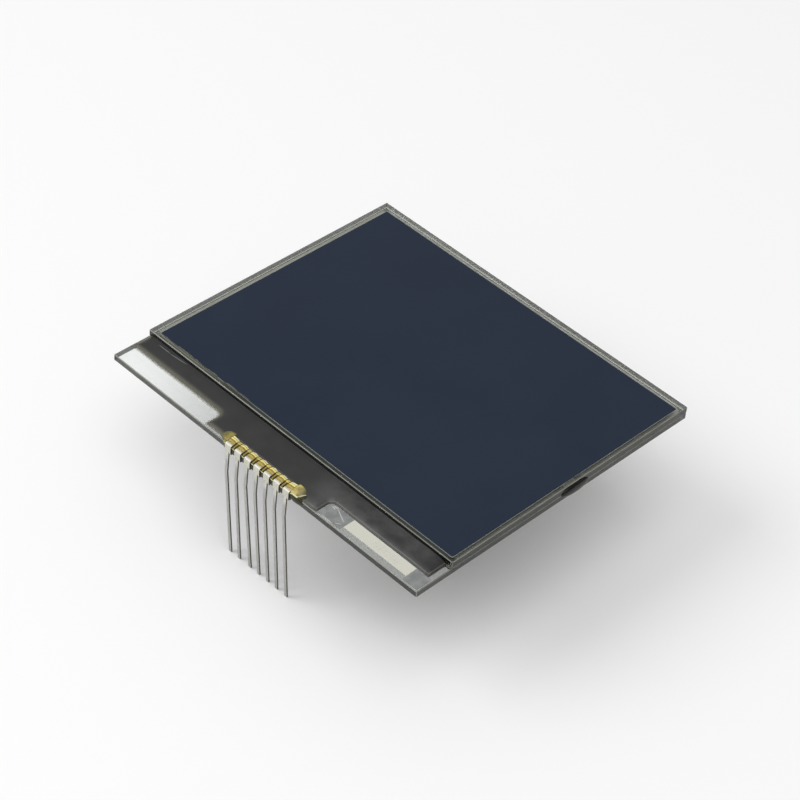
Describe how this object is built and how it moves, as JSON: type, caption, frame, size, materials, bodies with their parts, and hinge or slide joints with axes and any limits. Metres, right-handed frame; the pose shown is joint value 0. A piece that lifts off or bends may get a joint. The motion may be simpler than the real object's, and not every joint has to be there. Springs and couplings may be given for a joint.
{
  "type": "instrument cluster lcd screen",
  "caption": "Bare liquid-crystal display cell with a coated contact ledge and a row of formed clip pins set in yellow adhesive.",
  "frame": {"origin": "middle of the back face's plane, halfway along the glass in X and Y, on the rear polarizer's outer face", "axes": "+X along the contact ledge, +Y from the contact ledge to the far edge, +Z out of the display face; the pins hang in -Z"},
  "size_m": [0.0633, 0.0563, 0.0232],
  "materials": {
    "glass": "polished, edges cut and seamed",
    "seal_glue": "cured seal glue, pale",
    "liquid_crystal": "thin dark filling",
    "clear_conductor": "clear conductive oxide",
    "conductive_paste": "dull grey paste",
    "clear_glue": "clear glossy glue bead",
    "front_film": "matte navy anti-glare film",
    "rear_film": "matte grey-olive film",
    "silicon": "ground silicon back",
    "bond_film": "filled adhesive film",
    "black_coating": "satin black cured coating",
    "yellow_adhesive": "clear amber-yellow adhesive, glossy",
    "tinned_metal": "tinned, bright",
    "paper": "matte cream paper with a faint glaze"
  },
  "bodies": {
    "root": {"rear_glass": "glass", "front_glass": "glass", "perimeter_seal": "seal_glue", "liquid_crystal": "liquid_crystal", "row_electrodes": "clear_conductor", "column_electrodes": "clear_conductor", "transfer_dots": "conductive_paste", "end_seal_plug": "clear_glue", "front_polarizer": "front_film", "rear_polarizer": "rear_film", "driver_chip": "silicon", "chip_bond_film": "bond_film", "input_traces": "clear_conductor", "contact_pads": "clear_conductor", "ledge_coating": "black_coating", "pin_adhesive": "yellow_adhesive", "lot_label": "paper", "pin_1": "tinned_metal", "pin_2": "tinned_metal", "pin_3": "tinned_metal", "pin_4": "tinned_metal", "pin_5": "tinned_metal", "pin_6": "tinned_metal", "pin_7": "tinned_metal"}
  },
  "joints": []
}
